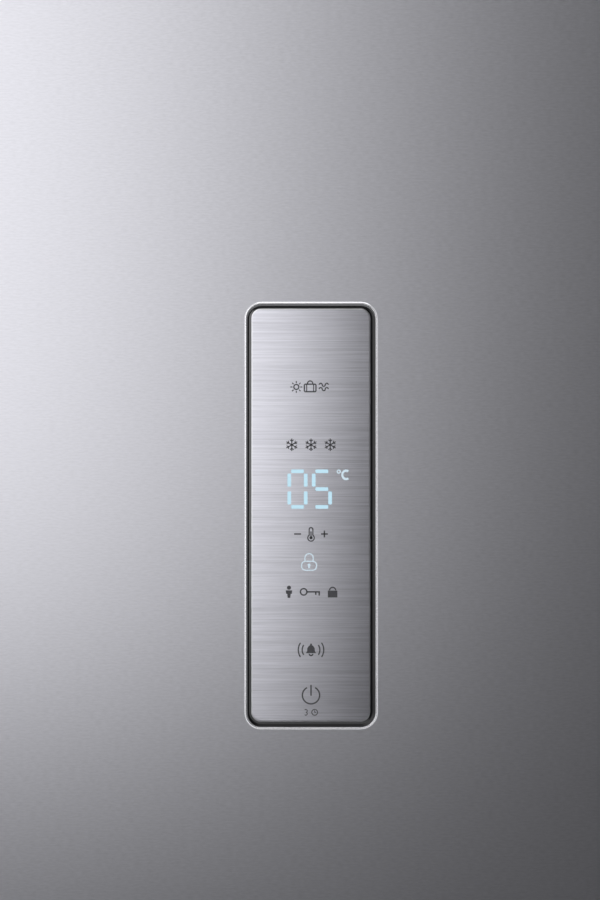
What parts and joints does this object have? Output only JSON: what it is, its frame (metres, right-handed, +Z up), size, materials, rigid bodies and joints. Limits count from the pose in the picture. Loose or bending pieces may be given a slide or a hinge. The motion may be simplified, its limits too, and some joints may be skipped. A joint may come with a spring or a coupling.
{
  "type": "larder fridge",
  "caption": "Tall free-standing larder fridge with a brushed steel door, an inset control panel, a bar handle, glass shelves, drawers and door bins.",
  "frame": {"origin": "on the floor, under the middle of the whole object's box, with the handle and the condenser", "axes": "+Z up, -Y the way the door faces, +X to the right as seen from the front"},
  "size_m": [0.595, 0.696, 1.855],
  "materials": {
    "painted_side": "satin",
    "zinc_sheet": "satin",
    "frame_steel": "matte",
    "foam": "matte",
    "white_plastic": "satin",
    "shelf_glass": "polished",
    "silver_trim": "satin",
    "chromed_wire": "polished",
    "fin_aluminium": "satin",
    "black_plastic": "matte",
    "motor_metal": "satin",
    "lamp_plastic": "gloss",
    "black_enamel": "gloss",
    "black_rubber": "matte",
    "copper": "satin",
    "grey_plastic": "matte",
    "pin_steel": "satin",
    "door_steel": "satin",
    "gasket_rubber": "matte",
    "handle_steel": "satin",
    "panel_black": "gloss",
    "fascia_steel": "satin",
    "lit_cyan": "gloss",
    "clear_plastic": "gloss",
    "slider_plastic": "satin"
  },
  "bodies": {
    "cabinet": {"side_panel_left": "painted_side", "side_panel_right": "painted_side", "top_panel": "painted_side", "bottom_panel": "painted_side", "back_panel": "zinc_sheet", "roller_brackets": "zinc_sheet", "hinge_brackets": "zinc_sheet", "base_frame": "frame_steel", "cabinet_foam": "foam", "liner": "white_plastic", "wall_ledges": "white_plastic", "rear_air_cover": "white_plastic", "drain_trough": "white_plastic", "shelf_glass_1": "shelf_glass", "shelf_glass_2": "shelf_glass", "shelf_glass_3": "shelf_glass", "crisper_cover": "shelf_glass", "shelf_trims": "silver_trim", "wine_rack": "chromed_wire", "evaporator": "fin_aluminium", "drip_tray": "black_plastic", "terminal_cover": "black_plastic", "condenser_brackets": "black_plastic", "power_box": "black_plastic", "fan_motor": "motor_metal", "light_lens": "lamp_plastic", "compressor": "black_enamel", "condenser": "black_enamel", "compressor_mounts": "black_rubber", "refrigerant_pipes": "copper", "filter_drier": "copper", "plinth_grille": "grey_plastic", "hinge_cover": "grey_plastic", "hinge_pins": "pin_steel", "cabinet_screws": "pin_steel"},
    "door": {"door_skin": "door_steel", "door_end_caps": "grey_plastic", "door_foam": "foam", "door_liner": "white_plastic", "door_gasket": "gasket_rubber", "hinge_bushes": "white_plastic", "handle_bar": "handle_steel", "handle_posts": "handle_steel", "panel_surround": "panel_black", "fascia": "fascia_steel", "display_segments": "lit_cyan", "display_board": "black_plastic"},
    "drawer_upper": {"drawer_upper": "clear_plastic"},
    "drawer_lower": {"drawer_lower": "clear_plastic"},
    "humidity_slider": {"humidity_slider": "slider_plastic"},
    "fan": {"fan_blade": "black_plastic"},
    "roller_left": {"roller_left": "grey_plastic"},
    "roller_right": {"roller_right": "grey_plastic"},
    "foot_left": {"levelling_foot_left": "grey_plastic"},
    "foot_right": {"levelling_foot_right": "grey_plastic"},
    "dairy_bin": {"dairy_bin": "clear_plastic"},
    "dairy_lid": {"dairy_lid": "clear_plastic"},
    "bin_upper": {"door_bin_upper": "clear_plastic"},
    "bin_lower": {"door_bin_lower": "clear_plastic"},
    "bin_bottles": {"bottle_bin": "clear_plastic"}
  },
  "joints": [
    {"name": "door_hinge", "type": "hinge", "parent": "cabinet", "child": "door", "pos_m": [0.2835, -0.276, 0.95], "axis": [0, 0, 1], "range_deg": [0, 120]},
    {"name": "drawer_upper_slide", "type": "slide", "parent": "cabinet", "child": "drawer_upper", "axis": [0, -1, 0], "range_m": [0, 0.23]},
    {"name": "drawer_lower_slide", "type": "slide", "parent": "cabinet", "child": "drawer_lower", "axis": [0, -1, 0], "range_m": [0, 0.15]},
    {"name": "humidity_slide", "type": "slide", "parent": "cabinet", "child": "humidity_slider", "axis": [1, 0, 0], "range_m": [0, 0.04]},
    {"name": "fan_spin", "type": "hinge", "parent": "cabinet", "child": "fan", "pos_m": [0, 0.224, 1.645], "axis": [0, 1, 0], "continuous": true},
    {"name": "roller_left_spin", "type": "hinge", "parent": "cabinet", "child": "roller_left", "pos_m": [-0.2655, 0.285, 0.015], "axis": [1, 0, 0], "continuous": true},
    {"name": "roller_right_spin", "type": "hinge", "parent": "cabinet", "child": "roller_right", "pos_m": [0.2655, 0.285, 0.015], "axis": [1, 0, 0], "continuous": true},
    {"name": "foot_left_turn", "type": "hinge", "parent": "cabinet", "child": "foot_left", "pos_m": [-0.2655, -0.199, 0], "axis": [0, 0, 1], "continuous": true},
    {"name": "foot_right_turn", "type": "hinge", "parent": "cabinet", "child": "foot_right", "pos_m": [0.2655, -0.199, 0], "axis": [0, 0, 1], "continuous": true},
    {"name": "dairy_bin_lift", "type": "slide", "parent": "door", "child": "dairy_bin", "axis": [0, 0, 1], "range_m": [0, 0.025]},
    {"name": "bin_upper_lift", "type": "slide", "parent": "door", "child": "bin_upper", "axis": [0, 0, 1], "range_m": [0, 0.025]},
    {"name": "bin_lower_lift", "type": "slide", "parent": "door", "child": "bin_lower", "axis": [0, 0, 1], "range_m": [0, 0.025]},
    {"name": "bin_bottles_lift", "type": "slide", "parent": "door", "child": "bin_bottles", "axis": [0, 0, 1], "range_m": [0, 0.025]},
    {"name": "dairy_lid_hinge", "type": "hinge", "parent": "dairy_bin", "child": "dairy_lid", "pos_m": [0, -0.2405, 1.534], "axis": [1, 0, 0], "range_deg": [0, 85]}
  ],
  "couplings": [
    {"joint": "drawer_upper_slide", "follows": "door_hinge", "m_per_rad": 0.10981},
    {"joint": "drawer_lower_slide", "follows": "door_hinge", "m_per_rad": 0.07161}
  ]
}
